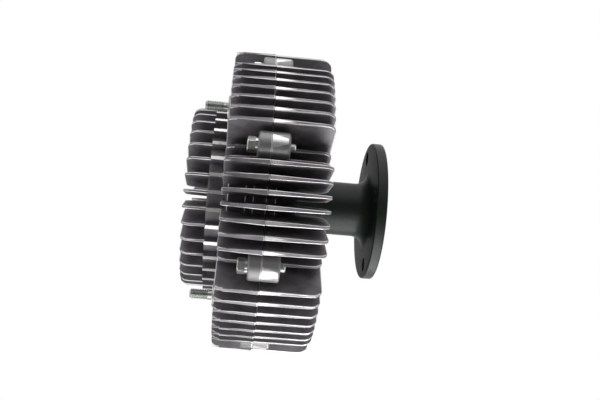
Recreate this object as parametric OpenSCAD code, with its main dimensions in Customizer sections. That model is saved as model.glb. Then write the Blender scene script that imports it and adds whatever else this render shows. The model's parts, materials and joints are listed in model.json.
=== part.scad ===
// Viscous fan clutch: a finned two-piece housing that turns on a flanged hub,
// with a fluid rotor inside and a bimetal coil that opens the fluid valve.
// The axis lies along X. The hub's mounting face is at X = 0 and faces +X.
// Axial places are distances s from that face, towards the fan side (X = -s).

/* [Housing] */
// Diameter over the turned tips of the front fins
housing_d = 190; // [184:1:204]
// Distance from the mounting face to the joint of the two castings
joint_s = 74; // [68:0.5:84]
// Length of the fins in front of the joint
front_fin_len = 25; // [23:0.5:30]
// Length of the fins behind the joint
rear_fin_len = 35; // [30:0.5:40]
// How much smaller in radius the rear casting is turned
rear_turn_step = 0.4; // [0.2:0.1:0.8]
// Wall of the drum round the working chamber, at the joint
drum_wall_t = 7; // [6.5:0.25:9]

/* [Fins] */
// Fin places between one clamp boss and the next
fins_per_boss = 9; // [7, 9, 11]
// Fin thickness at the joint
fin_root_t = 2.8; // [2.2:0.1:3.2]
// Fin thickness at the free ends
fin_end_t = 1.7; // [1.2:0.1:2]
// Rounding of the front fin corners
front_corner_r = 4.5; // [2:0.5:6]
// Rounding of the rear fin corners
rear_corner_r = 6; // [3:0.5:8]
// Distance from a clamp bolt's axis to the fins that give way to its boss
short_fin_clear = 10; // [9:0.5:13]

/* [Clamp bosses and bolts] */
// Number of clamp bosses
boss_count = 8; // [8, 12]
// Radius of a clamp boss
boss_r = 8; // [7:0.25:8.5]
// Boss height in front of the joint
boss_front_h = 7.5; // [6:0.5:9]
// Boss height behind the joint
boss_rear_h = 10.3; // [8:0.1:13]
// Clamp bolt thread diameter
bolt_d = 5; // [4:0.5:6]
// Clamp bolt head across flats
bolt_head_af = 8; // [7:0.5:9]
// Clamp bolt head height
bolt_head_h = 4.4; // [3:0.1:5]
// How far the bolt stands out behind its boss
bolt_stick_out = 3; // [1:0.5:6]
// Spring washer thickness
washer_t = 1.4; // [1:0.1:2]

/* [Fan side] */
// Pitch circle of the fan studs
stud_pcd = 154; // [150:1:158]
// Number of fan studs
stud_count = 4; // [4, 8]
// Fan stud diameter
stud_d = 6; // [5:0.5:8]
// How far a stud stands out of its seat
stud_len = 13; // [10:0.5:20]
// Radius of a stud seat
stud_seat_r = 6.7; // [6:0.1:7.5]
// Number of fins on the front hub
hub_fin_count = 36; // [24, 30, 36]
// Radius of the turned land that centres the fan
pilot_r = 59; // [58:0.25:61]
// Length of that land in front of the housing fins
pilot_len = 8.4; // [6:0.2:10]
// Height of the hub fins in front of the land
hub_fin_h = 14.4; // [10:0.2:18]
// Hub fin thickness at the base
hub_fin_root_t = 2.4; // [1.8:0.1:2.8]
// Hub fin thickness at the free end
hub_fin_end_t = 1.5; // [1:0.1:1.8]
// Radius of the open coil pocket inside the hub fins
pocket_r = 28; // [28:0.5:30]
// Depth of the coil pocket below the hub top
pocket_depth = 9; // [8.5:0.25:10]

/* [Hub and shaft] */
// Diameter of the mounting flange
flange_d = 88.4; // [84:0.2:100]
// Thickness of the mounting flange
flange_t = 6.5; // [5:0.1:9]
// Pitch circle of the flange holes
flange_pcd = 72; // [68:0.5:76]
// Number of flange holes
flange_holes = 4; // [3, 4, 6]
// Diameter of a flange hole
flange_hole_d = 9; // [7:0.5:11]
// Diameter of the neck between flange and housing
neck_d = 34.5; // [32:0.5:36]
// Fillet from the neck to the flange
neck_fillet = 8.5; // [5:0.5:10]
// Diameter of the pilot bore in the mounting face
pilot_bore_d = 19; // [14:0.5:22]
// Depth of that bore
pilot_bore_depth = 12; // [8:0.5:20]

/* [Bearing] */
// Bearing bore
bearing_id = 25; // [24:0.5:26]
// Bearing outer diameter
bearing_od = 52; // [50:0.5:54]
// Bearing width
bearing_w = 15; // [14:0.5:16]
// Ball diameter
ball_d = 7.9; // [7.5:0.1:8.1]
// Number of balls
ball_count = 9; // [7:1:9]

/* [Fluid drive] */
// Radius of the rotor
rotor_r = 60.8; // [57:0.2:65]
// Running gap round the rotor
rotor_gap = 1.2; // [0.8:0.1:2]
// Thickness of the rotor disc
rotor_t = 5.5; // [4.5:0.25:6.5]
// Diameter of the rotor seat on the shaft
rotor_seat_d = 20; // [18:0.5:21]
// Running gap between the labyrinth ridges
ridge_gap = 0.6; // [0.4:0.05:0.8]
// Number of ridges on the rotor
ridge_count = 5; // [3:1:5]
// Thickness of the divider plate
plate_t = 1; // [0.8:0.1:1.5]

/* [Valve and coil] */
// Valve shaft diameter
valve_shaft_d = 8; // [7:0.5:9]
// Radius at which the valve port lies
port_pcr = 36; // [32:0.5:38]
// Diameter of the valve port
port_d = 6; // [4:0.5:7]
// Bimetal strip thickness
coil_strip_t = 1; // [0.7:0.1:1.2]
// Bimetal strip width
coil_strip_w = 8; // [6:0.25:8.25]
// Number of half turns of the coil
coil_half_turns = 8; // [6, 8]

/* [Hidden] */
$fn = 96;
eps = 0.01;
round_fn = 180;
run_gap = 0.05;

// The chamber is bored to the rotor and the drum wall stands round it
chamber_r = rotor_r + rotor_gap;
drum_r = chamber_r + drum_wall_t;

// Axial chain of the housing, measured from the joint
front_wall_set_back = 3;
chamber_depth = 4;
rear_wall_t = 6;
drum_step_len = 5.5;
drum_rear_len = 18;
front_step_len = 12;
front_lip_len = 7.5;
front_s = joint_s + front_fin_len;
rear_s = joint_s - rear_fin_len;
wall_front_s = front_s - front_wall_set_back;
hub_top_s = front_s + pocket_depth;
pocket_floor_s = front_s;
land_s = front_s + pilot_len;
hub_fin_s = land_s + hub_fin_h;
floor_t = 5;
chamber_rear_s = joint_s - chamber_depth;
wall_rear_s = chamber_rear_s - rear_wall_t;
drum_step_s = joint_s - drum_step_len;
drum_rear_s = joint_s - drum_rear_len;
housing_r = housing_d / 2;
rear_r = housing_r - rear_turn_step;
front_tip_draft = 1;

// Drum and wall radii
drum_front_step = 3;
drum_rear_step = 10;
front_step = 1.5;
rim_t = 6;
pilot_depth = 5;
land_step = 2;
drum_front_r = drum_r - drum_front_step;
drum_rear_r = drum_r - drum_rear_step;
rim_in_r = drum_rear_r - rim_t;
hub_base_r = pilot_r - pilot_depth;
hub_fin_r = pilot_r - land_step;
hub_corner_r = 5;
front_step_s = joint_s + front_step_len;
front_step_r = drum_r - front_step;
front_lip_s = joint_s + front_lip_len;
wall_fillet = 2;
hub_top_edge_r = 1.5;

// Fin and boss pattern
fin_total = boss_count * fins_per_boss;
fin_pitch = 360 / fin_total;
boss_pitch = 360 / boss_count;
boss_pcr = housing_r - boss_r;
short_fin_r = boss_pcr - short_fin_clear;
boss_edge_r = 1.5;
boss_web_w = 2 * boss_r - 2;
short_places = [floor(fins_per_boss / 2), floor(fins_per_boss / 2) + 1];
function is_short(i) = len(search(i % fins_per_boss, short_places)) > 0;
full_fins = [for (i = [0 : fin_total - 1]) if (!is_short(i)) i * fin_pitch];
short_fins = [for (i = [0 : fin_total - 1]) if (is_short(i)) i * fin_pitch];
fin_bury = 1.5;
rear_inner_corner_r = 8;
fin_over = 3;
// Short front fins start inside the boss web
short_fin_lift = 3;
hub_fin_base_s = wall_front_s - fin_bury;

// Clamp bolts
bolt_r = bolt_d / 2;
bolt_hole_r = bolt_r + 0.25;
washer_s = joint_s + boss_front_h;
bolt_seat_s = washer_s + washer_t;
bolt_end_s = joint_s - boss_rear_h - bolt_stick_out;
washer_r = bolt_head_af / 2 + 0.4;
washer_split_w = 1;
head_chamfer_h = 0.32 * bolt_head_af;

// Fan studs
stud_r = stud_d / 2;
stud_pcr = stud_pcd / 2;
stud_seat_s = front_s + 1;
stud_hole_depth = 12;
stud_anchor_r = stud_r + 0.4;
stud_boss_len = 16;

// Hub and shaft
flange_r = flange_d / 2;
neck_r = neck_d / 2;
hole_start_angle = 17.8;
edge_chamfer = 1;
journal_r = bearing_id / 2;
rotor_seat_r = rotor_seat_d / 2;

// Bearing, held between a lip and a clip in the rear casting
clip_t = 1.5;
boss_gap = 0.6;
clip_wall = 1.4;
lip_t = 1.5;
bearing_boss_front_s = joint_s - boss_gap;
bearing_front_s = bearing_boss_front_s - clip_wall - clip_t;
bearing_rear_s = bearing_front_s - bearing_w;
bearing_boss_rear_s = bearing_rear_s - lip_t;
bearing_mid_s = (bearing_front_s + bearing_rear_s) / 2;
bearing_r = bearing_od / 2;
bearing_boss_r = bearing_r + 5.5;
clip_depth = 1.2;
bearing_clip_in = 2.5;
lip_r = neck_r + 1.25;
pitch_r = (journal_r + bearing_r) / 2;
ball_r = ball_d / 2;
race_r = ball_r + run_gap;
inner_shoulder_r = pitch_r - 2.75;
outer_shoulder_r = pitch_r + 2.75;
seal_t = 1;
seal_inset = 0.4;
cage_half_t = 0.95;
cage_half_w = ball_r + 1.2;
pocket_gap = 0.15;

// Fluid drive
rotor_rear_s = joint_s + 0.5;
rotor_front_s = rotor_rear_s + rotor_t;
rotor_hub_r = rotor_seat_r + 5;
rotor_hole_r = 2.5;
rotor_hole_pcr = rotor_hub_r + 9;
rotor_hole_count = 6;
ridge_out_gap = 3.8;
ridge_in_gap = 5.5;
ridge_out_r = rotor_r - ridge_out_gap;
ridge_in_r = bearing_boss_r + ridge_in_gap;
ridge_pitch = (ridge_out_r - ridge_in_r) / (ridge_count - 1);
ridge_t = ridge_pitch / 2 - ridge_gap;
rotor_clip_t = 1.2;
rotor_clip_depth = 1;
rotor_clip_out = 3;
clip_open_w = 3;
shaft_end_s = rotor_front_s + rotor_clip_t + 1.2;

// Divider plate, screwed to a ledge in the front cover
plate_s = rotor_front_s + 3.5;
ledge_s = plate_s + plate_t;
plate_r = chamber_r - 1;
ledge_in_r = chamber_r - 11;
plate_screw_pcr = (ledge_in_r + plate_r) / 2;
plate_screw_count = 6;
screw_r = 1.5;
screw_gap = 0.1;
screw_head_r = 2.5;
screw_head_h = 1.2;
screw_len = 5;
return_hole_r = 1.5;
return_hole_pcr = ledge_in_r - 4;

// Fluid store in the front cover
store_s = wall_front_s - floor_t;
store_floor_s = pocket_floor_s - floor_t;
store_ring_s = hub_top_s - 6;
store_ring_in_r = pocket_r + 6;
store_ring_out_r = hub_base_r - 8;

// Valve shaft, arm and seal
valve_r = valve_shaft_d / 2;
valve_bore_r = valve_r + run_gap;
arm_gap = 0.6;
arm_t = 1.2;
arm_s = ledge_s + arm_gap;
guide_s = store_floor_s - 5.5;
guide_r = valve_r + 5;
shoulder_r = valve_r + 1.5;
shoulder_gap = 0.3;
seal_groove_s = guide_s + 3;
seal_section_r = 0.5;
seal_groove_w = 1.4;
seal_groove_r = valve_r - 2 * seal_section_r;
seal_ring_r = seal_groove_r + seal_section_r + 0.02;
valve_clip_t = 0.8;
valve_clip_s = pocket_floor_s + 0.2;
valve_clip_depth = 0.8;
valve_clip_out = 2;
arm_w = 2 * valve_r + 4;
arm_pad_r = port_d / 2 + 2;
arm_beam_w = 1.4 * arm_pad_r;

// Bimetal coil and the bracket that holds its outer end
coil_s = pocket_floor_s + 1.5;
coil_top_s = coil_s + coil_strip_w;
valve_top_s = coil_top_s + 0.5;
coil_pitch = 3.7;
coil_in_r = valve_r + 2;
coil_step = coil_pitch / 4;
coil_end_x = coil_step + coil_in_r + (coil_half_turns - 1) * coil_pitch / 2;
tab_gap = 0.1;
slot_w = coil_strip_t + 2 * tab_gap;
slot_s = coil_s - 0.5;
end_tab_len = 4;
bracket_t = 1.2;
bracket_base_t = 1;
bracket_w = 15;
bracket_screw_gap = 10;
post_low_y = 1;
post_in_x = coil_end_x - slot_w / 2 - bracket_t;
post_out_x = coil_end_x + slot_w / 2 + bracket_t;
bracket_screw_x = post_out_x + screw_head_r + 0.1;
bracket_out_x = bracket_screw_x + 2.2;
bracket_screw_end_s = pocket_floor_s + bracket_base_t - screw_len;

// Seal in the joint face
seal_r = 0.75;
seal_pcr = chamber_r + 3.3;
groove_w = 2.4;

function min_corner(a, b) = [min(a.x, b.x), min(a.y, b.y)];

// Puts a shape that is built along +Z onto the clutch axis
module on_axis() {
    rotate([0, -90, 0]) children();
}

// Repeats a shape evenly round the axis
module around(count, start = 0) {
    for (i = [0 : count - 1]) rotate([0, 0, start + i * 360 / count]) children();
}

// Turns a radius and distance profile round the axis
module turned() {
    rotate_extrude($fn = round_fn) children();
}

// Profile rectangle from radius r0 to r1 and from distance s0 to s1
module band(r0, r1, s0, s1) {
    translate([r0, s0]) square([r1 - r0, s1 - s0]);
}

// Area between a square corner and its rounding, to add as a fillet or cut away
module corner_piece(corner, radius, into) {
    near = corner - into * eps;
    far = corner + into * radius;
    difference() {
        translate(min_corner(near, far)) square(radius + eps);
        translate(far) circle(r = radius);
    }
}

// Ring between two radii and two distances
module ring(r0, r1, s0, s1) {
    turned() band(r0, r1, s0, s1);
}

// Straight rod at a pitch radius
module rod(pcr, r, s0, s1) {
    translate([pcr, 0, s0]) cylinder(r = r, h = s1 - s0);
}

// Radial fins with the given side view, whose thickness tapers from t0 to t1 along the axis
module fins(angles, r0, r1, s0, s1, t0, t1) {
    for (a = angles) rotate([0, 0, a]) intersection() {
        rotate([90, 0, 0]) linear_extrude(height = 2 * max(t0, t1), center = true) children();
        translate([r0, 0, 0]) rotate([90, 0, 90]) linear_extrude(height = r1 - r0)
            polygon([[-t0 / 2, s0], [t0 / 2, s0], [t1 / 2, s1], [-t1 / 2, s1]]);
    }
}

// Side view of a front fin, which runs down over the front wall to the hub
module front_fin_profile(tip_r, start_s) {
    end_r = tip_r - front_tip_draft;
    difference() {
        union() {
            polygon([[drum_front_r - fin_bury, start_s], [tip_r, start_s],
                [end_r, front_s], [drum_front_r - fin_bury, front_s]]);
            band(hub_base_r - fin_bury, drum_front_r, wall_front_s - fin_bury, front_s);
        }
        corner_piece([end_r, front_s], front_corner_r, [-1, -1]);
    }
}

// Side view of a rear fin, which overhangs the drum behind
module rear_fin_profile(tip_r) {
    in_r = drum_rear_r - fin_bury;
    difference() {
        union() {
            band(in_r, tip_r, rear_s, chamber_rear_s - fin_bury / 2);
            band(drum_r - fin_bury, tip_r, rear_s, joint_s);
        }
        corner_piece([tip_r, rear_s], rear_corner_r, [-1, 1]);
        corner_piece([in_r, rear_s], rear_inner_corner_r, [1, 1]);
    }
}

// Fins in front of the joint, full height or short
module front_fins(angles, tip_r, start_s) {
    fins(angles, hub_base_r - fin_over, housing_r + fin_over, joint_s, front_s, fin_root_t, fin_end_t)
        front_fin_profile(tip_r, start_s);
}

// Fins behind the joint, full height or short
module rear_fins(angles, tip_r) {
    fins(angles, drum_rear_r - fin_over, housing_r + fin_over, rear_s, joint_s, fin_end_t, fin_root_t)
        rear_fin_profile(tip_r);
}

// Clamp boss with a rounded free end and a web down to the drum
module clamp_boss(s_joint, s_end, root_r) {
    into = s_end > s_joint ? -1 : 1;
    low = min(s_joint, s_end);
    high = max(s_joint, s_end);
    translate([boss_pcr, 0, 0]) rotate_extrude() difference() {
        band(0, boss_r, low, high);
        corner_piece([boss_r, s_end], boss_edge_r, [-1, into]);
    }
    web_low = into > 0 ? low + boss_edge_r : low;
    web_high = into > 0 ? high : high - boss_edge_r;
    translate([root_r, -boss_web_w / 2, web_low])
        cube([boss_pcr - root_r, boss_web_w, web_high - web_low]);
}

// Machine screw pointing along +Z from the underside of its head
module screw(length) {
    translate([0, 0, -screw_head_h]) cylinder(r = screw_head_r, h = screw_head_h);
    cylinder(r = screw_r, h = length);
}

// One-piece hub: mounting flange, neck, bearing journal and rotor seat
module hub_shaft() {
    color("darkslategray") on_axis() difference() {
        turned() difference() {
            union() {
                band(0, flange_r, 0, flange_t);
                band(0, neck_r, 0, bearing_rear_s);
                band(0, journal_r, 0, bearing_front_s);
                band(0, rotor_seat_r, 0, shaft_end_s);
                corner_piece([neck_r, flange_t], neck_fillet, [1, 1]);
            }
            band(0, pilot_bore_d / 2, -eps, pilot_bore_depth);
            band(rotor_seat_r - rotor_clip_depth, rotor_seat_r + eps,
                rotor_front_s, rotor_front_s + rotor_clip_t);
            corner_piece([flange_r, 0], edge_chamfer, [-1, 1]);
            corner_piece([flange_r, flange_t], edge_chamfer, [-1, -1]);
            corner_piece([rotor_seat_r, shaft_end_s], edge_chamfer, [-1, -1]);
        }
        around(flange_holes, hole_start_angle)
            rod(flange_pcd / 2, flange_hole_d / 2, -1, flange_t + 1);
    }
}

// Rotor disc with labyrinth ridges and fluid holes
module rotor() {
    color("silver") on_axis() difference() {
        turned() {
            band(rotor_seat_r, rotor_hub_r, bearing_front_s, rotor_front_s);
            band(rotor_hub_r - 1, rotor_r, rotor_rear_s, rotor_front_s);
            for (i = [0 : ridge_count - 1])
                translate([ridge_in_r + i * ridge_pitch, 0])
                    band(-ridge_t / 2, ridge_t / 2, chamber_rear_s + ridge_gap, rotor_rear_s + 1);
        }
        around(rotor_hole_count)
            rod(rotor_hole_pcr, rotor_hole_r, rotor_rear_s - 1, rotor_front_s + 1);
    }
}

// External clip that holds the rotor on the shaft
module rotor_clip() {
    in_r = rotor_seat_r - rotor_clip_depth;
    out_r = rotor_seat_r + rotor_clip_out;
    color("dimgray") on_axis() difference() {
        ring(in_r, out_r, rotor_front_s, rotor_front_s + rotor_clip_t);
        translate([0, -clip_open_w / 2, rotor_front_s - 1])
            cube([out_r + 1, clip_open_w, rotor_clip_t + 2]);
    }
}

// Rear casting: drum, bearing boss, labyrinth ridges, fins and clamp bosses
module rear_body() {
    color("darkgray") on_axis() difference() {
        union() {
            rear_fins(full_fins, rear_r);
            rear_fins(short_fins, short_fin_r);
            around(boss_count, boss_pitch / 2)
                clamp_boss(joint_s, joint_s - boss_rear_h, drum_r - fin_bury);
            turned() rear_drum_profile();
        }
        around(boss_count, boss_pitch / 2)
            rod(boss_pcr, bolt_r, joint_s - boss_rear_h - 1, joint_s + 1);
    }
}

module rear_drum_profile() {
    difference() {
        union() {
            band(lip_r, drum_rear_r, drum_rear_s, chamber_rear_s);
            band(lip_r, drum_r, drum_step_s, joint_s);
            band(lip_r, bearing_boss_r, bearing_boss_rear_s, bearing_boss_front_s);
        }
        band(bearing_boss_r, rim_in_r, drum_rear_s - eps, wall_rear_s);
        band(bearing_boss_r, chamber_r, chamber_rear_s, joint_s + eps);
        band(lip_r - eps, bearing_boss_r + eps, bearing_boss_front_s, joint_s + eps);
        band(lip_r - eps, bearing_r, bearing_rear_s, joint_s + eps);
        band(bearing_r - eps, bearing_r + clip_depth, bearing_front_s, bearing_front_s + clip_t);
        band(seal_pcr - groove_w / 2, seal_pcr + groove_w / 2, joint_s - 2 * seal_r, joint_s + eps);
    }
    corner_piece([bearing_boss_r, wall_rear_s], wall_fillet, [1, -1]);
    corner_piece([rim_in_r, wall_rear_s], wall_fillet, [-1, -1]);
    for (i = [0 : ridge_count - 2])
        translate([ridge_in_r + (i + 0.5) * ridge_pitch, 0])
            band(-ridge_t / 2, ridge_t / 2, chamber_rear_s - 1, rotor_rear_s - ridge_gap);
}

// Front casting: drum, fluid store, coil pocket, pilot, fins, bosses and stud seats
module front_cover() {
    color("gray") on_axis() difference() {
        union() {
            front_fins(full_fins, housing_r, joint_s);
            front_fins(short_fins, short_fin_r, joint_s + short_fin_lift);
            hub_fins();
            around(boss_count, boss_pitch / 2)
                clamp_boss(joint_s, joint_s + boss_front_h, drum_r - fin_bury);
            around(stud_count, 180 / stud_count)
                rod(stud_pcr, stud_seat_r, stud_seat_s - stud_boss_len, stud_seat_s);
            turned() front_drum_profile();
        }
        around(boss_count, boss_pitch / 2)
            rod(boss_pcr, bolt_hole_r, joint_s - 1, washer_s + 1);
        around(stud_count, 180 / stud_count)
            rod(stud_pcr, stud_anchor_r, stud_seat_s - stud_hole_depth, stud_seat_s + 1);
        around(plate_screw_count)
            rod(plate_screw_pcr, screw_r, ledge_s - 1, ledge_s + screw_len - plate_t);
        for (side = [-1, 1])
            translate([bracket_screw_x, side * bracket_screw_gap / 2, bracket_screw_end_s])
                cylinder(r = screw_r, h = screw_len);
    }
}

module front_drum_profile() {
    difference() {
        union() {
            band(0, drum_r, joint_s, front_lip_s);
            band(0, front_step_r, joint_s, front_step_s);
            band(0, drum_front_r, joint_s, wall_front_s);
            band(0, hub_base_r, joint_s, hub_top_s);
            corner_piece([hub_base_r, wall_front_s], wall_fillet, [1, 1]);
        }
        corner_piece([hub_base_r, hub_top_s], hub_top_edge_r, [-1, -1]);
        band(-eps, pocket_r, pocket_floor_s, hub_top_s + eps);
        band(-eps, chamber_r, joint_s - eps, ledge_s);
        band(guide_r, ledge_in_r, ledge_s - eps, store_s);
        band(guide_r, store_ring_out_r, ledge_s - eps, store_floor_s);
        band(store_ring_in_r, store_ring_out_r, ledge_s - eps, store_ring_s);
        band(-eps, guide_r + eps, ledge_s - eps, guide_s);
        band(-eps, valve_bore_r, guide_s - eps, pocket_floor_s + eps);
    }
}

// Radial blades round the coil pocket, turned to centre the fan
module hub_fins() {
    angles = [for (i = [0 : hub_fin_count - 1]) (i + 0.5) * 360 / hub_fin_count];
    fins(angles, pocket_r - fin_over, pilot_r + fin_over,
        hub_fin_base_s, hub_fin_s, hub_fin_root_t, hub_fin_end_t) hub_fin_profile();
}

module hub_fin_profile() {
    difference() {
        union() {
            band(hub_base_r - fin_bury, pilot_r, hub_fin_base_s, land_s);
            band(pocket_r, hub_fin_r, hub_top_s - fin_bury, hub_fin_s);
        }
        corner_piece([hub_fin_r, hub_fin_s], hub_corner_r, [-1, -1]);
        corner_piece([pocket_r, hub_fin_s], hub_corner_r, [1, -1]);
    }
}

module bearing_inner_ring() {
    color("lightsteelblue") on_axis() difference() {
        ring(journal_r, inner_shoulder_r, bearing_rear_s, bearing_front_s);
        race();
    }
}

module bearing_outer_ring() {
    color("lightsteelblue") on_axis() difference() {
        ring(outer_shoulder_r, bearing_r, bearing_rear_s, bearing_front_s);
        race();
    }
}

// Ball track shared by both bearing rings
module race() {
    turned() translate([pitch_r, bearing_mid_s]) circle(r = race_r);
}

module bearing_balls() {
    color("white") on_axis() around(ball_count)
        translate([pitch_r, 0, bearing_mid_s]) sphere(r = ball_r);
}

module bearing_cage() {
    color("goldenrod") on_axis() difference() {
        ring(pitch_r - cage_half_t, pitch_r + cage_half_t,
            bearing_mid_s - cage_half_w, bearing_mid_s + cage_half_w);
        around(ball_count) translate([inner_shoulder_r, 0, bearing_mid_s]) rotate([0, 90, 0])
            cylinder(r = ball_r + pocket_gap, h = outer_shoulder_r - inner_shoulder_r);
    }
}

// Rubber seal in one side of the bearing, held by the outer ring
module bearing_seal(s_side) {
    on_axis() ring(inner_shoulder_r + 2 * run_gap, outer_shoulder_r, s_side, s_side + seal_t);
}

module bearing_front_seal() {
    color("saddlebrown") bearing_seal(bearing_front_s - seal_inset - seal_t);
}

module bearing_rear_seal() {
    color("saddlebrown") bearing_seal(bearing_rear_s + seal_inset);
}

// Internal clip that keeps the bearing in its boss
module bearing_clip() {
    in_r = bearing_r - bearing_clip_in;
    color("dimgray") on_axis() difference() {
        ring(in_r, bearing_r + clip_depth, bearing_front_s, bearing_front_s + clip_t);
        translate([in_r - 1, -clip_open_w, bearing_front_s - 1])
            cube([bearing_clip_in + clip_depth + 2, 2 * clip_open_w, clip_t + 2]);
    }
}

// Plate between the fluid store and the working chamber
module divider_plate() {
    color("gainsboro") on_axis() difference() {
        ring(0, plate_r, plate_s, ledge_s);
        rod(port_pcr, port_d / 2, plate_s - 1, ledge_s + 1);
        around(2, 90) rod(return_hole_pcr, return_hole_r, plate_s - 1, ledge_s + 1);
        around(plate_screw_count)
            rod(plate_screw_pcr, screw_r + screw_gap, plate_s - 1, ledge_s + 1);
    }
}

module divider_screws() {
    color("lightgray") on_axis() around(plate_screw_count)
        translate([plate_screw_pcr, 0, plate_s]) screw(screw_len);
}

// Arm that slides over the port when the valve shaft turns
module valve_arm() {
    color("silver") on_axis() translate([0, 0, arm_s]) linear_extrude(height = arm_t) difference() {
        union() {
            circle(d = arm_w);
            translate([0, -arm_beam_w / 2]) square([port_pcr, arm_beam_w]);
            translate([port_pcr, 0]) circle(r = arm_pad_r);
        }
        circle(r = valve_r);
    }
}

// Shaft that carries the coil's turn to the arm
module valve_shaft() {
    color("lightgray") on_axis() difference() {
        turned() difference() {
            union() {
                band(0, valve_r, arm_s, valve_top_s);
                band(0, shoulder_r, arm_s + arm_t, guide_s - shoulder_gap);
            }
            band(seal_groove_r, valve_r + eps, seal_groove_s, seal_groove_s + seal_groove_w);
            band(valve_r - valve_clip_depth, valve_r + eps, valve_clip_s, valve_clip_s + valve_clip_t);
        }
        translate([-valve_r - 1, -slot_w / 2, slot_s])
            cube([2 * valve_r + 2, slot_w, valve_top_s - slot_s + 1]);
    }
}

module valve_seal() {
    color("black") on_axis() turned()
        translate([seal_ring_r, seal_groove_s + seal_groove_w / 2]) circle(r = seal_section_r);
}

module valve_clip() {
    in_r = valve_r - valve_clip_depth;
    out_r = valve_r + valve_clip_out;
    color("dimgray") on_axis() difference() {
        ring(in_r, out_r, valve_clip_s, valve_clip_s + valve_clip_t);
        translate([0, -clip_open_w / 2, valve_clip_s - 1])
            cube([out_r + 1, clip_open_w, valve_clip_t + 2]);
    }
}

// Half turns of strip whose centres step from side to side, so that the coil widens
module half_turn(i) {
    r = coil_in_r + i * coil_pitch / 2;
    side = i % 2;
    translate([side == 0 ? -coil_step : coil_step, 0, 0]) rotate([0, 0, 180 * side])
        rotate_extrude(angle = 180, $fn = round_fn)
            band(r - coil_strip_t / 2, r + coil_strip_t / 2, coil_s, coil_top_s);
}

// Bimetal strip wound as a flat spiral, with a tab in the valve shaft's slot
module bimetal_coil() {
    color("tan") on_axis() {
        for (i = [0 : coil_half_turns - 1]) half_turn(i);
        translate([-valve_r, -coil_strip_t / 2, coil_s])
            cube([valve_r + coil_in_r - coil_step, coil_strip_t, coil_strip_w]);
        translate([coil_end_x - coil_strip_t / 2, 0, coil_s])
            cube([coil_strip_t, end_tab_len, coil_strip_w]);
    }
}

// Bracket on the pocket floor whose forked post holds the coil's outer end
module coil_bracket() {
    color("silver") on_axis() translate([0, 0, pocket_floor_s]) difference() {
        union() {
            translate([post_in_x, -bracket_w / 2, 0])
                cube([bracket_out_x - post_in_x, bracket_w, bracket_base_t]);
            translate([post_in_x, post_low_y, 0])
                cube([post_out_x - post_in_x, end_tab_len - post_low_y, coil_top_s - pocket_floor_s]);
        }
        translate([coil_end_x - slot_w / 2, 0, bracket_base_t])
            cube([slot_w, end_tab_len + 1, coil_top_s]);
        for (side = [-1, 1]) translate([bracket_screw_x, side * bracket_screw_gap / 2, -1])
            cylinder(r = screw_r + screw_gap, h = bracket_base_t + 2);
    }
}

module bracket_screws() {
    color("lightgray") on_axis() for (side = [-1, 1])
        translate([bracket_screw_x, side * bracket_screw_gap / 2, pocket_floor_s + bracket_base_t])
            rotate([180, 0, 0]) screw(screw_len);
}

module cover_seal() {
    color("black") on_axis() turned()
        translate([seal_pcr, joint_s - seal_r]) circle(r = seal_r);
}

// Hexagon bolts from the fan side through both castings
module clamp_bolts() {
    color("lightgray") on_axis() around(boss_count, boss_pitch / 2) translate([boss_pcr, 0, 0]) {
        translate([0, 0, bolt_end_s]) cylinder(r = bolt_r, h = bolt_seat_s - bolt_end_s);
        translate([0, 0, bolt_seat_s]) intersection() {
            cylinder(d = bolt_head_af / cos(30), h = bolt_head_h, $fn = 6);
            rotate_extrude() difference() {
                band(0, bolt_head_af, 0, bolt_head_h);
                polygon([[bolt_head_af / 2, bolt_head_h + eps], [bolt_head_af + eps, bolt_head_h + eps],
                    [bolt_head_af + eps, bolt_head_h - head_chamfer_h]]);
            }
        }
    }
}

// Split washers under the bolt heads
module spring_washers() {
    color("lightgray") on_axis() around(boss_count, boss_pitch / 2) translate([boss_pcr, 0, 0]) difference() {
        rotate_extrude() band(bolt_hole_r, washer_r, washer_s, bolt_seat_s);
        translate([0, -washer_split_w / 2, washer_s - 1])
            cube([washer_r + 1, washer_split_w, washer_t + 2]);
    }
}

// Studs that carry the fan, each with a thicker anchor in its seat
module fan_studs() {
    stud_end_s = stud_seat_s + stud_len;
    color("lightgray") on_axis() around(stud_count, 180 / stud_count)
        translate([stud_pcr, 0, 0]) rotate_extrude() difference() {
            union() {
                band(0, stud_anchor_r, stud_seat_s - stud_hole_depth, stud_seat_s);
                band(0, stud_r, stud_seat_s - stud_hole_depth, stud_end_s);
            }
            polygon([[stud_r - edge_chamfer, stud_end_s + eps], [stud_r + eps, stud_end_s + eps],
                [stud_r + eps, stud_end_s - edge_chamfer]]);
        }
}

hub_shaft();
rotor();
rotor_clip();
rear_body();
front_cover();
bearing_inner_ring();
bearing_outer_ring();
bearing_balls();
bearing_cage();
bearing_front_seal();
bearing_rear_seal();
bearing_clip();
divider_plate();
divider_screws();
valve_arm();
valve_shaft();
valve_seal();
valve_clip();
bimetal_coil();
coil_bracket();
bracket_screws();
cover_seal();
clamp_bolts();
spring_washers();
fan_studs();
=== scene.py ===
import json
import math

import bpy
from mathutils import Matrix, Vector


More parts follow.
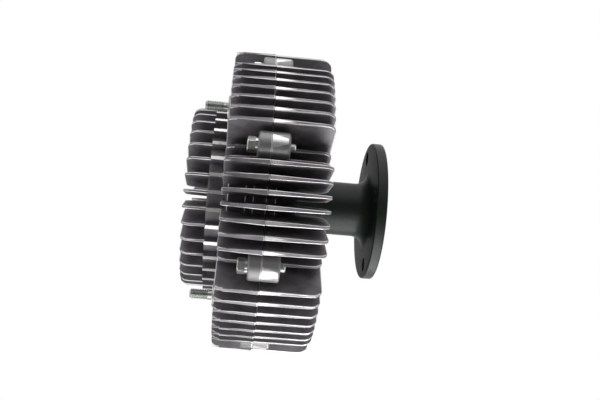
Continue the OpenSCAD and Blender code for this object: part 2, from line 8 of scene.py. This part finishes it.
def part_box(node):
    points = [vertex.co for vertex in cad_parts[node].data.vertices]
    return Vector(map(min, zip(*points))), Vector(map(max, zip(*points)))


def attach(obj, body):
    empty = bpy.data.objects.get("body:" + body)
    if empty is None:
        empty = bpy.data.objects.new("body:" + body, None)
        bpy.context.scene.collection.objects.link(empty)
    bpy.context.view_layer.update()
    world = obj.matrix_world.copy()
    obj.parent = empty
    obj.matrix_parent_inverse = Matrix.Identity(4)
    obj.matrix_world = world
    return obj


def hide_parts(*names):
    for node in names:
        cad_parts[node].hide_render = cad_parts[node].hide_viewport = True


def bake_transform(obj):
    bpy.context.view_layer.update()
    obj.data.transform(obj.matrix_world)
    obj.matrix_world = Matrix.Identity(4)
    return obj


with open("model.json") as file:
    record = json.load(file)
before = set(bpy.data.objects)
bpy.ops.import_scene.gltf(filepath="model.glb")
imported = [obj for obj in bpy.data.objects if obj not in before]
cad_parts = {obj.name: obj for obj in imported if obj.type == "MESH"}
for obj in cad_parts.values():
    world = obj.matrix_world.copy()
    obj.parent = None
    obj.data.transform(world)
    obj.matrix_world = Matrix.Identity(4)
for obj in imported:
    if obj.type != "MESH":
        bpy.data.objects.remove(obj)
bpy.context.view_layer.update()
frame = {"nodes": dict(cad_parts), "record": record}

MM = 0.001
FULL_TURN = 2 * math.pi

# Camera, as fitted to the photograph's 600 by 400 frame
IMAGE_WIDTH = 600
FOCAL_PIXELS = 779.9
SENSOR_WIDTH = 36.0
CAMERA_DISTANCE = 507.3 * MM
CAMERA_X = -88.25 * MM
CAMERA_YAW = math.radians(4.336)
CAMERA_PITCH = math.radians(0.389)
CAMERA_ROLL = math.radians(4.862)
AXIS_TURN = math.radians(1.677)

# Places on the part, read from the frame
mounts = {mount["name"]: mount for mount in frame["record"]["mounts"]}
rear_low, rear_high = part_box("rear_body")
front_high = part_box("front_cover")[1]
stud_low, stud_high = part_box("fan_studs")
bolt_low, bolt_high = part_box("clamp_bolts")
washer_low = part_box("spring_washers")[0]
JOINT_X = rear_low.x
HOUSING_R = front_high.z
REAR_R = rear_high.z
STUD_PCR = mounts["fan_studs"]["dims"]["pcd_mm"] / 2 * MM
STUD_COUNT = mounts["fan_studs"]["dims"]["count"]
STUD_R = mounts["fan_studs"]["dims"]["stud_r_mm"] * MM
STUD_SEAT_X = mounts["fan_studs"]["pos_m"][0]

# Castings
FIN_PITCH = math.radians(5)
BOSS_COUNT = 8
BOSS_PITCH = FULL_TURN / BOSS_COUNT
BOSS_R = 8 * MM
BOSS_PCR = HOUSING_R - BOSS_R
BOSS_DEPTH = 10.3 * MM
BOSS_REAR_X = JOINT_X + BOSS_DEPTH
STUD_SEAT_RISE = 1 * MM
PILOT_R = 59 * MM
PILOT_LENGTH = 8.4 * MM
PILOT_FRONT_X = STUD_SEAT_X + STUD_SEAT_RISE - PILOT_LENGTH
EDGE_BREAK = 0.45 * MM

# Hub flange's inner face, along the axis
FLANGE_X = -6.5 * MM

# Fasteners
BOLT_R = 2.5 * MM
BOLT_HEAD_AF = 8 * MM
RINGS_PER_PITCH = 8

# Strip of the bimetal coil, and the room between its first turn and the valve shaft
COIL_HALF_TURNS = 8
COIL_PITCH = 3.7 * MM
COIL_STRIP_T = 1 * MM
COIL_SHAFT_GAP = 2 * MM
COIL_END_TAB = 4 * MM


class Graph:
    """Builds one node material around a Principled shader."""

    def __init__(self, name, metallic=0.0, gloss=0.5):
        self.material = bpy.data.materials.new(name)
        self.material.use_nodes = True
        self.tree = self.material.node_tree
        self.shader = self.tree.nodes["Principled BSDF"]
        self.shader.inputs["Metallic"].default_value = metallic
        self.shader.inputs["Specular IOR Level"].default_value = gloss

    def node(self, kind, **settings):
        made = self.tree.nodes.new(kind)
        for key, value in settings.items():
            setattr(made, key, value)
        return made

    def feed(self, socket, value):
        """Links a socket to another one, or gives it a constant."""
        if isinstance(value, bpy.types.NodeSocket):
            self.tree.links.new(value, socket)
        else:
            socket.default_value = value

    def math(self, operation, first, second=0.0):
        made = self.node("ShaderNodeMath", operation=operation)
        self.feed(made.inputs[0], first)
        self.feed(made.inputs[1], second)
        return made.outputs[0]

    def times(self, first, second):
        return self.math("MULTIPLY", first, second)

    def flip(self, value):
        """Turns 0 into 1 and 1 into 0."""
        return self.math("SUBTRACT", 1.0, value)

    def length(self, first, second):
        """Distance that belongs to two offsets at right angles."""
        squares = [self.math("POWER", value, 2.0) for value in (first, second)]
        return self.math("SQRT", self.math("ADD", *squares))

    def step(self, value, low, high):
        """Rises smoothly from 0 at low to 1 at high."""
        made = self.node("ShaderNodeMapRange", interpolation_type="SMOOTHSTEP")
        self.feed(made.inputs["Value"], value)
        self.feed(made.inputs["From Min"], low)
        self.feed(made.inputs["From Max"], high)
        return made.outputs["Result"]

    def span(self, value, low, high):
        """Maps a 0 to 1 value onto low to high."""
        made = self.node("ShaderNodeMapRange")
        self.feed(made.inputs["Value"], value)
        made.inputs["To Min"].default_value = low
        made.inputs["To Max"].default_value = high
        return made.outputs["Result"]

    def mix(self, factor, first, second, data_type="RGBA"):
        """Goes from the first colour to the second as factor goes from 0 to 1."""
        made = self.node("ShaderNodeMix", data_type=data_type)
        self.feed(made.inputs["Factor"], factor)
        self.feed(made.inputs["A"], first)
        self.feed(made.inputs["B"], second)
        return made.outputs["Result"]

    def blend(self, factor, first, second):
        """As mix, for plain numbers."""
        return self.mix(factor, first, second, "FLOAT")

    def place(self):
        return self.node("ShaderNodeTexCoord").outputs["Object"]

    def noise(self, place, size, detail=3.0):
        """Noise whose grains are about size metres across."""
        made = self.node("ShaderNodeTexNoise")
        self.feed(made.inputs["Vector"], place)
        made.inputs["Scale"].default_value = 1 / size
        made.inputs["Detail"].default_value = detail
        return made.outputs["Fac"]

    def bump(self, height, depth):
        made = self.node("ShaderNodeBump")
        made.inputs["Distance"].default_value = depth
        self.feed(made.inputs["Height"], height)
        self.feed(self.shader.inputs["Normal"], made.outputs["Normal"])

    def finish(self, color, roughness):
        self.feed(self.shader.inputs["Base Color"], color)
        self.feed(self.shader.inputs["Roughness"], roughness)
        return self.material


def rgb(red, green, blue):
    return (red, green, blue, 1.0)


def polar(graph, place):
    """Place along the axis, distance from it and angle round it, from -Y upwards."""
    parts = graph.node("ShaderNodeSeparateXYZ")
    graph.feed(parts.inputs[0], place)
    along, across, up = parts.outputs
    radius = graph.length(across, up)
    angle = graph.math("ARCTAN2", up, graph.times(across, -1.0))
    return along, radius, angle


def nearest_step(graph, angle, pitch, start=0.0):
    """Angle from the nearest of a set of evenly spaced directions."""
    turns = graph.math("DIVIDE", graph.math("SUBTRACT", angle, start), pitch)
    part = graph.math("SUBTRACT", turns, graph.math("ROUND", turns))
    return graph.times(part, pitch)


def from_boss(graph, radius, angle):
    """Sideways offset and distance from the nearest clamp boss's centre."""
    off = nearest_step(graph, angle, BOSS_PITCH, BOSS_PITCH / 2)
    side = graph.times(radius, graph.math("SINE", off))
    reach = graph.math("SUBTRACT", graph.times(radius, graph.math("COSINE", off)), BOSS_PCR)
    return side, graph.length(side, reach)


def cast_aluminium(name, land):
    """As-cast aluminium with smoother clamp bosses and a turned land."""
    graph = Graph(name, metallic=0.6)
    place = graph.place()
    along, radius, angle = polar(graph, place)
    blotch = graph.noise(place, 9 * MM, 4.0)
    grain = graph.noise(place, 0.9 * MM, 3.0)
    color = graph.mix(graph.step(blotch, 0.3, 0.7),
                      rgb(0.172, 0.163, 0.174), rgb(0.255, 0.244, 0.255))
    roughness = graph.span(grain, 0.55, 0.7)

    side, distance = from_boss(graph, radius, angle)
    on_boss = graph.flip(graph.step(distance, BOSS_R + 0.1 * MM, BOSS_R + 0.5 * MM))
    color = graph.mix(on_boss, color, rgb(0.22, 0.217, 0.216))
    roughness = graph.blend(on_boss, roughness, graph.span(grain, 0.4, 0.5))

    turned = land(graph, along, radius, angle, side)
    bright = graph.mix(blotch, rgb(0.66, 0.645, 0.63), rgb(0.78, 0.77, 0.76))
    color = graph.mix(turned, color, bright)
    roughness = graph.blend(turned, roughness, graph.span(blotch, 0.22, 0.32))
    relief = graph.math("SUBTRACT", grain, 0.5)
    graph.bump(graph.times(relief, graph.flip(turned)), 0.12 * MM)
    return graph.finish(color, roughness)


def wedge(graph, along, side, half_w, length):
    """1 inside a wedge that is widest at the joint and narrows to a point behind it."""
    soft = 0.08 * MM
    behind = graph.math("DIVIDE", graph.math("SUBTRACT", along, JOINT_X), length)
    half = graph.times(graph.flip(behind), half_w)
    return graph.step(graph.math("SUBTRACT", half, graph.math("ABSOLUTE", side)), -soft, soft)


def rear_land(graph, along, radius, angle, boss_side):
    """Turned land on the rear fin tips and bosses, which narrows away from the joint."""
    fin_half_w = 1.4 * MM
    fin_length = 12.5 * MM
    boss_half_w = 4.2 * MM
    boss_length = 14 * MM
    fin_side = graph.times(radius, nearest_step(graph, angle, FIN_PITCH))
    on_fin = graph.times(wedge(graph, along, fin_side, fin_half_w, fin_length),
                         graph.step(radius, REAR_R - 0.4 * MM, REAR_R - 0.2 * MM))
    on_boss = graph.times(wedge(graph, along, boss_side, boss_half_w, boss_length),
                          graph.step(radius, REAR_R - 0.9 * MM, REAR_R - 0.7 * MM))
    on_round = graph.step(along, BOSS_REAR_X - 1.6 * MM, BOSS_REAR_X - 1.2 * MM)
    return graph.math("MAXIMUM", on_fin, graph.times(on_boss, graph.flip(on_round)))


def front_land(graph, along, radius, angle, boss_side):
    """Turned land on the front hub fins that centres the fan, the same all the way round."""
    outside = graph.step(radius, PILOT_R - 0.5 * MM, PILOT_R - 0.3 * MM)
    within = graph.flip(graph.step(radius, PILOT_R + 0.3 * MM, PILOT_R + 0.6 * MM))
    behind_front = graph.step(along, PILOT_FRONT_X - 0.2 * MM, PILOT_FRONT_X)
    return graph.times(behind_front, graph.times(outside, within))


def hub_paint():
    """Dark green-black paint with a faint orange peel, with its reflection turned down on the
    flange's inner face as painted shade.
    """
    fillet_in_r = 17.6 * MM
    fillet_out_r = 22 * MM
    graph = Graph("hub_paint")
    place = graph.place()
    peel = graph.noise(place, 1.2 * MM, 2.0)
    cloud = graph.noise(place, 14 * MM, 3.0)
    color = graph.mix(cloud, rgb(0.008, 0.0115, 0.0085), rgb(0.014, 0.019, 0.015))
    along, radius, _ = polar(graph, place)
    # Painted shade: the paint reflects less on the flange's inner face, which faces the housing.
    face_shade = graph.times(graph.step(radius, fillet_in_r, fillet_out_r),
                          graph.flip(graph.step(along, FLANGE_X, FLANGE_X + 0.6 * MM)))
    graph.feed(graph.shader.inputs["Specular IOR Level"], graph.span(face_shade, 0.2, 0.02))
    graph.bump(peel, 0.1 * MM)
    return graph.finish(color, graph.span(peel, 0.34, 0.5))


def plated_steel(name, dark, light, rough=(0.2, 0.38), size=2.5 * MM):
    """Metal with a cloudy plated or ground finish."""
    graph = Graph(name, metallic=1.0)
    place = graph.place()
    cloud = graph.noise(place, size, 4.0)
    grain = graph.noise(place, 0.25 * MM, 2.0)
    graph.bump(grain, 0.02 * MM)
    return graph.finish(graph.mix(cloud, dark, light), graph.span(cloud, *rough))


def turned_metal(name, dark, light):
    """Metal with fine rings from the lathe."""
    graph = Graph(name, metallic=1.0)
    along, radius, _ = polar(graph, graph.place())
    rings = graph.noise(graph.math("ADD", radius, along), 0.3 * MM, 2.0)
    graph.bump(rings, 0.02 * MM)
    return graph.finish(graph.mix(rings, dark, light), graph.span(rings, 0.22, 0.4))


def seal_rubber():
    """Matt black rubber with fine moulding marks."""
    graph = Graph("seal_rubber")
    grain = graph.noise(graph.place(), 0.5 * MM, 3.0)
    color = graph.mix(grain, rgb(0.012, 0.012, 0.013), rgb(0.03, 0.03, 0.031))
    graph.bump(grain, 0.05 * MM)
    return graph.finish(color, graph.span(grain, 0.55, 0.75))


def make_materials():
    """All the finishes, under the record's slot names and two more: a painted highlight for the
    castings' broken edges, and one for the studs.
    """
    materials = {
        "rear_casting": cast_aluminium("rear_casting", rear_land),
        "front_casting": cast_aluminium("front_casting", front_land),
        "hub_paint": hub_paint(),
        "seal_rubber": seal_rubber(),
    }
    turned = {
        "rotor_metal": (rgb(0.55, 0.55, 0.56), rgb(0.68, 0.68, 0.69)),
        "bearing_steel": (rgb(0.6, 0.6, 0.61), rgb(0.72, 0.72, 0.73)),
    }
    plated = {
        # Lighter metal for the castings' bevelled edges: a painted highlight, standing in for
        # light caught by the rounded edges.
        "cast_edge_highlight": (rgb(0.52, 0.515, 0.52), rgb(0.66, 0.655, 0.66), (0.32, 0.45)),
        "zinc_steel": (rgb(0.6, 0.62, 0.59), rgb(0.8, 0.82, 0.79), (0.26, 0.42)),
        "stud_steel": (rgb(0.32, 0.335, 0.315), rgb(0.5, 0.515, 0.49), (0.28, 0.44)),
        "ball_steel": (rgb(0.74, 0.74, 0.75), rgb(0.8, 0.8, 0.81), (0.05, 0.1)),
        "cage_brass": (rgb(0.6, 0.44, 0.2), rgb(0.74, 0.57, 0.3)),
        "plate_steel": (rgb(0.5, 0.5, 0.5), rgb(0.64, 0.64, 0.63), (0.28, 0.45)),
        "spring_steel": (rgb(0.16, 0.16, 0.17), rgb(0.26, 0.26, 0.27), (0.3, 0.5)),
        "bimetal": (rgb(0.5, 0.44, 0.33), rgb(0.66, 0.59, 0.46), (0.25, 0.42), 5 * MM),
    }
    for name, finish in turned.items():
        materials[name] = turned_metal(name, *finish)
    for name, finish in plated.items():
        materials[name] = plated_steel(name, *finish)
    return materials


def edge_shading(smooth_below, break_above):
    """Geometry nodes that mark sharp edges, and weigh the outer ones that are to be broken."""
    group = bpy.data.node_groups.new("edge_shading", "GeometryNodeTree")
    group.interface.new_socket("Geometry", in_out="INPUT", socket_type="NodeSocketGeometry")
    group.interface.new_socket("Geometry", in_out="OUTPUT", socket_type="NodeSocketGeometry")

    def compare(operation, value, limit):
        made = group.nodes.new("FunctionNodeCompare")
        made.operation = operation
        made.inputs["B"].default_value = limit
        group.links.new(value, made.inputs["A"])
        return made.outputs["Result"]

    def combine(operation, first, second):
        made = group.nodes.new("FunctionNodeBooleanMath")
        made.operation = operation
        group.links.new(first, made.inputs[0])
        group.links.new(second, made.inputs[1])
        return made.outputs[0]

    # Edges round the turned land on the front hub fins, which stay as they are
    place = group.nodes.new("GeometryNodeInputPosition")
    parts = group.nodes.new("ShaderNodeSeparateXYZ")
    flat = group.nodes.new("ShaderNodeCombineXYZ")
    radius = group.nodes.new("ShaderNodeVectorMath")
    radius.operation = "LENGTH"
    group.links.new(place.outputs["Position"], parts.inputs[0])
    group.links.new(parts.outputs["Y"], flat.inputs["Y"])
    group.links.new(parts.outputs["Z"], flat.inputs["Z"])
    group.links.new(flat.outputs[0], radius.inputs[0])
    outer = compare("GREATER_THAN", radius.outputs["Value"], PILOT_R + 1.5 * MM)
    ahead = compare("LESS_EQUAL", parts.outputs["X"], PILOT_FRONT_X - 1 * MM)
    pilot = combine("NOR", outer, ahead)

    angle = group.nodes.new("GeometryNodeInputMeshEdgeAngle")
    sharp = compare("GREATER_THAN", angle.outputs["Unsigned Angle"], smooth_below)
    convex = compare("GREATER_THAN", angle.outputs["Signed Angle"], break_above)
    broken = combine("NIMPLY", convex, pilot)

    start = group.nodes.new("NodeGroupInput")
    end = group.nodes.new("NodeGroupOutput")
    faces = group.nodes.new("GeometryNodeSetShadeSmooth")
    edges = group.nodes.new("GeometryNodeSetShadeSmooth")
    edges.domain = "EDGE"
    edges.inputs["Shade Smooth"].default_value = False
    weigh = group.nodes.new("GeometryNodeStoreNamedAttribute")
    weigh.domain = "EDGE"
    weigh.data_type = "FLOAT"
    weigh.inputs["Name"].default_value = "bevel_weight_edge"
    weigh.inputs["Value"].default_value = 1.0
    group.links.new(sharp, edges.inputs["Selection"])
    group.links.new(broken, weigh.inputs["Selection"])
    chain = [start, faces, edges, weigh, end]
    for before, after in zip(chain, chain[1:]):
        group.links.new(before.outputs["Geometry"], after.inputs["Geometry"])
    return group


def dress_nodes(materials):
    """Gives each solid its slot's material and breaks the castings' sharp edges, with a painted
    highlight on the broken edges.
    """
    slots = {part["node"]: part["material_slot"] for part in frame["record"]["subparts"]}
    shading = edge_shading(smooth_below=math.radians(25), break_above=math.radians(40))
    for name, solid in frame["nodes"].items():
        solid.data.materials.clear()
        solid.data.materials.append(materials[slots[name]])
        if "custom_normal" in solid.data.attributes:
            solid.data.attributes.remove(solid.data.attributes["custom_normal"])
        weld = solid.modifiers.new("weld", "WELD")
        weld.merge_threshold = 0.002 * MM
        smooth = solid.modifiers.new("smooth", "NODES")
        smooth.node_group = shading
        if "casting" in slots[name]:
            # The bevel faces take the lighter edge material, a painted highlight.
            solid.data.materials.append(materials["cast_edge_highlight"])
            bevel = solid.modifiers.new("edges", "BEVEL")
            bevel.width = EDGE_BREAK
            bevel.segments = 2
            bevel.limit_method = "WEIGHT"
            bevel.use_clamp_overlap = False
            bevel.harden_normals = True
            bevel.material = 1


def mesh_piece(name, skins, material):
    """One mesh object made of closed skins, each a list of rings with as many points."""
    points = []
    faces = []
    for rings in skins:
        count = len(rings[0])
        first = len(points)
        for ring in rings:
            points.extend(ring)
        for row in range(len(rings) - 1):
            low = first + row * count
            for i in range(count):
                j = (i + 1) % count
                faces.append((low + i, low + j, low + count + j, low + count + i))
        faces.append(tuple(first + i for i in reversed(range(count))))
        last = first + (len(rings) - 1) * count
        faces.append(tuple(last + i for i in range(count)))
    mesh = bpy.data.meshes.new(name)
    mesh.from_pydata([tuple(point) for point in points], [], faces)
    mesh.update()
    mesh.materials.append(material)
    mesh.shade_smooth()
    mesh.set_sharp_from_angle(angle=math.radians(38))
    piece = bpy.data.objects.new(name, mesh)
    bpy.context.scene.collection.objects.link(piece)
    return piece


def ring_at(x, radius_of, count):
    """Points round a line along X, whose radius may change with the angle."""
    points = []
    for i in range(count):
        turn = FULL_TURN * i / count
        radius = radius_of(turn)
        points.append(Vector((x, radius * math.cos(turn), radius * math.sin(turn))))
    return points


def thread_radius(x, turn, crest, pitch, depth):
    """Radius of a screw thread with small flats at its crests and roots."""
    flat = 0.15
    phase = (x / pitch + turn / FULL_TURN) % 1.0
    rise = min(max((abs(2 * phase - 1) - flat) / (1 - 2 * flat), 0.0), 1.0)
    return crest - depth * (1 - rise)


def thread_rings(start, end, crest, pitch, depth, chamfer, segments):
    """Rings of a screw thread from start to its chamfered end."""
    rings = []
    count = int(abs(end - start) / pitch * RINGS_PER_PITCH)
    for i in range(1, count + 1):
        x = start + (end - start) * i / count
        cap = crest - chamfer + abs(end - x)
        rings.append(ring_at(
            x, lambda turn: min(thread_radius(x, turn, crest, pitch, depth), cap), segments))
    return rings


def placed(rings, pcr, angle):
    """Moves rings to a pitch radius at an angle measured from -Y upwards."""
    shift = Vector((0, -pcr * math.cos(angle), pcr * math.sin(angle)))
    turn = Matrix.Rotation(-angle, 3, "X")
    return [[turn @ point + shift for point in ring] for ring in rings]


def stud_rings():
    """Fan stud with a plain shank in its seat and a thread in front."""
    segments = 32
    shank_r = STUD_R - 0.15 * MM
    thread_x = STUD_SEAT_X - 2.5 * MM
    rings = [ring_at(x, lambda turn: shank_r, segments) for x in (stud_high.x, thread_x)]
    rings += thread_rings(thread_x, stud_low.x, STUD_R, pitch=1.0 * MM, depth=0.7 * MM,
                          chamfer=1.0 * MM, segments=segments)
    return rings[::-1]


def bolt_rings():
    """Clamp bolt with a chamfered hexagon head, a shank and a thread."""
    segments = 48
    sixth = FULL_TURN / 6
    half_flat = BOLT_HEAD_AF / 2
    top_r = 0.46 * BOLT_HEAD_AF
    chamfer_slope = 1.73
    chamfer_rings = 10
    chamfer_step = 0.1 * MM
    top = bolt_low.x
    seat = washer_low.x
    thread_x = BOSS_REAR_X - 1 * MM
    root_r = BOLT_R - 0.05 * MM

    def hexagon(turn):
        return half_flat / math.cos(turn % sixth - sixth / 2)

    rings = []
    for i in range(chamfer_rings):
        x = top + chamfer_step * i
        cone = top_r + chamfer_slope * (x - top)
        rings.append(ring_at(x, lambda turn: min(hexagon(turn), cone), segments))
    rings.append(ring_at(seat, hexagon, segments))
    rings.append(ring_at(seat, lambda turn: BOLT_R, segments))
    rings.append(ring_at(thread_x, lambda turn: root_r, segments))
    rings += thread_rings(thread_x, bolt_high.x, BOLT_R, pitch=0.8 * MM, depth=0.45 * MM,
                          chamfer=0.6 * MM, segments=segments)
    return rings


def make_fasteners(materials):
    """Studs and bolts with real threads in place of the plain ones."""
    stud_pitch = FULL_TURN / STUD_COUNT
    studs = [placed(stud_rings(), STUD_PCR, stud_pitch * (i + 0.5)) for i in range(STUD_COUNT)]
    bolts = [placed(bolt_rings(), BOSS_PCR, BOSS_PITCH * (i + 0.5)) for i in range(BOSS_COUNT)]
    for name, skins, node, finish in (("studs_threaded", studs, "fan_studs", "stud_steel"),
                                      ("bolts_threaded", bolts, "clamp_bolts", "zinc_steel")):
        piece = mesh_piece(name, skins, materials[finish])
        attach(piece, "housing")
        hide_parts(node)


def strip_ring(low_x, high_x, inner, outer):
    """Corners of the coil strip's section, from the Y and Z of its two faces."""
    return [Vector((low_x, *outer)), Vector((high_x, *outer)),
            Vector((high_x, *inner)), Vector((low_x, *inner))]


def half_turn_rings(low_x, high_x, centre_z, radius, sign):
    """Half a turn of the coil strip, from above its centre to below it or back."""
    steps = 32
    half_t = COIL_STRIP_T / 2
    rings = []
    for i in range(steps + 1):
        turn = math.pi * i / steps
        inner, outer = [(sign * r * math.sin(turn), centre_z + sign * r * math.cos(turn))
                        for r in (radius - half_t, radius + half_t)]
        rings.append(strip_ring(low_x, high_x, inner, outer))
    return rings


def make_coil(materials):
    """The coil as half turns, from next to the valve shaft out towards the housing, and its inner
    tab.
    """
    low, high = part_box("bimetal_coil")
    half_t = COIL_STRIP_T / 2
    shift = COIL_PITCH / 4
    first_r = high.z - half_t - shift - (COIL_HALF_TURNS - 1) * COIL_PITCH / 2
    tab_ends = (COIL_SHAFT_GAP - first_r, first_r - shift)
    tab = [strip_ring(low.x, high.x, (half_t, z), (-half_t, z)) for z in tab_ends]
    pieces = [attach(mesh_piece("coil_inner_tab", [tab], materials["bimetal"]), "valve")]
    for i in range(COIL_HALF_TURNS):
        sign = 1 - 2 * (i % 2)
        centre_z = -sign * shift
        radius = first_r + i * COIL_PITCH / 2
        rings = half_turn_rings(low.x, high.x, centre_z, radius, sign)
        if i == COIL_HALF_TURNS - 1:
            rings.append([point + Vector((0, COIL_END_TAB, 0)) for point in rings[-1]])
        piece = mesh_piece(f"coil_half_turn_{i + 1}", [rings], materials["bimetal"])
        pieces.append(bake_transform(piece))
    for piece in pieces:
        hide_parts("bimetal_coil")


def make_camera():
    """Camera at the photograph's place and angle, in the frame of the part."""
    forward = Vector((math.sin(CAMERA_YAW) * math.cos(CAMERA_PITCH),
                      math.cos(CAMERA_YAW) * math.cos(CAMERA_PITCH), math.sin(CAMERA_PITCH)))
    level = forward.cross(Vector((0, 0, 1))).normalized()
    upright = level.cross(forward)
    right = level * math.cos(CAMERA_ROLL) + upright * math.sin(CAMERA_ROLL)
    up = upright * math.cos(CAMERA_ROLL) - level * math.sin(CAMERA_ROLL)
    pose = Matrix((right, up, -forward)).transposed().to_4x4()
    pose.translation = Vector((CAMERA_X, -CAMERA_DISTANCE, 0))
    data = bpy.data.cameras.new("camera")
    data.sensor_fit = "HORIZONTAL"
    data.sensor_width = SENSOR_WIDTH
    data.lens = FOCAL_PIXELS / IMAGE_WIDTH * SENSOR_WIDTH
    data.clip_start = 0.01
    camera = bpy.data.objects.new("camera", data)
    camera.matrix_world = Matrix.Rotation(-AXIS_TURN, 4, "X") @ pose
    bpy.context.scene.collection.objects.link(camera)
    bpy.context.scene.camera = camera


def seen_rays(tree):
    """1 for rays from the camera and from mirror or glass surfaces, else 0."""
    path = tree.nodes.new("ShaderNodeLightPath")
    total = path.outputs["Is Camera Ray"]
    for name in ("Is Glossy Ray", "Is Transmission Ray"):
        join = tree.nodes.new("ShaderNodeMath")
        join.operation = "MAXIMUM"
        tree.links.new(total, join.inputs[0])
        tree.links.new(path.outputs[name], join.inputs[1])
        total = join.outputs[0]
    return total


def make_world():
    """White to look at, and a soft even fill as light."""
    fill = 0.35
    world = bpy.data.worlds.new("world")
    bpy.context.scene.world = world
    world.use_nodes = True
    tree = world.node_tree
    light = tree.nodes["Background"]
    light.inputs["Color"].default_value = rgb(1, 1, 1)
    strength = tree.nodes.new("ShaderNodeMapRange")
    strength.inputs["To Min"].default_value = fill
    strength.inputs["To Max"].default_value = 1.0
    tree.links.new(seen_rays(tree), strength.inputs["Value"])
    tree.links.new(strength.outputs["Result"], light.inputs["Strength"])


def floor_material(fade_start, fade_end):
    """Pale floor that takes shadows and turns white between two distances from its middle."""
    material = bpy.data.materials.new("floor")
    material.use_nodes = True
    tree = material.node_tree
    shader = tree.nodes["Principled BSDF"]
    shader.inputs["Base Color"].default_value = rgb(0.9, 0.9, 0.9)
    shader.inputs["Roughness"].default_value = 0.9
    glow = tree.nodes.new("ShaderNodeEmission")
    place = tree.nodes.new("ShaderNodeTexCoord")
    distance = tree.nodes.new("ShaderNodeVectorMath")
    distance.operation = "LENGTH"
    fade = tree.nodes.new("ShaderNodeMapRange")
    fade.interpolation_type = "SMOOTHSTEP"
    fade.inputs["From Min"].default_value = fade_start
    fade.inputs["From Max"].default_value = fade_end
    both = tree.nodes.new("ShaderNodeMath")
    both.operation = "MULTIPLY"
    mixed = tree.nodes.new("ShaderNodeMixShader")
    tree.links.new(place.outputs["Object"], distance.inputs[0])
    tree.links.new(distance.outputs["Value"], fade.inputs["Value"])
    tree.links.new(fade.outputs["Result"], both.inputs[0])
    tree.links.new(seen_rays(tree), both.inputs[1])
    tree.links.new(both.outputs[0], mixed.inputs["Fac"])
    tree.links.new(shader.outputs["BSDF"], mixed.inputs[1])
    tree.links.new(glow.outputs["Emission"], mixed.inputs[2])
    tree.links.new(mixed.outputs["Shader"], tree.nodes["Material Output"].inputs["Surface"])
    return material


def make_floor():
    """Round floor below the part."""
    radius = 0.33
    drop = 0.25
    centre_x = -0.06
    bpy.ops.mesh.primitive_circle_add(vertices=128, radius=radius, fill_type="NGON",
                                      location=(centre_x, 0, -drop))
    floor = bpy.context.object
    floor.name = "floor"
    floor.data.materials.append(floor_material(0.45 * radius, 0.97 * radius))


def area_light(name, place, target, size, power):
    data = bpy.data.lights.new(name, "AREA")
    data.shape = "RECTANGLE"
    data.size, data.size_y = size
    data.energy = power
    lamp = bpy.data.objects.new(name, data)
    lamp.location = place
    lamp.rotation_euler = (Vector(target) - Vector(place)).to_track_quat("-Z", "Y").to_euler()
    lamp.visible_camera = False
    bpy.context.scene.collection.objects.link(lamp)


def make_lights():
    """Large soft lights above and below, and a narrow one under the hub's neck."""
    middle = (-0.07, 0, 0)
    area_light("top_light", place=(-0.1, -0.1, 0.75), target=middle, size=(0.9, 0.9), power=3.0)
    area_light("low_light", place=(-0.1, -0.1, -0.24), target=middle, size=(0.5, 0.5), power=1.5)
    area_light("hub_light", place=(0.025, -0.08, -0.235), target=(0.025, -0.079, 0),
               size=(0.11, 0.3), power=0.72)


def make_dark_card():
    """Dark card behind the camera, as in a photographer's tent."""
    width = 2.2
    height = 1.1
    bpy.ops.mesh.primitive_plane_add(size=1.0, location=(-0.1, -0.8, 0),
                                     rotation=(math.radians(90), 0, 0))
    card = bpy.context.object
    card.name = "dark_card"
    card.scale = (width, height, 1.0)
    card.visible_camera = False
    material = bpy.data.materials.new("dark_card")
    material.use_nodes = True
    shader = material.node_tree.nodes["Principled BSDF"]
    shader.inputs["Base Color"].default_value = rgb(0.02, 0.018, 0.016)
    card.data.materials.append(material)


def main():
    bpy.context.scene.view_settings.view_transform = "Standard"
    materials = make_materials()
    dress_nodes(materials)
    make_fasteners(materials)
    make_coil(materials)
    make_camera()
    make_world()
    make_floor()
    make_lights()
    make_dark_card()


main()
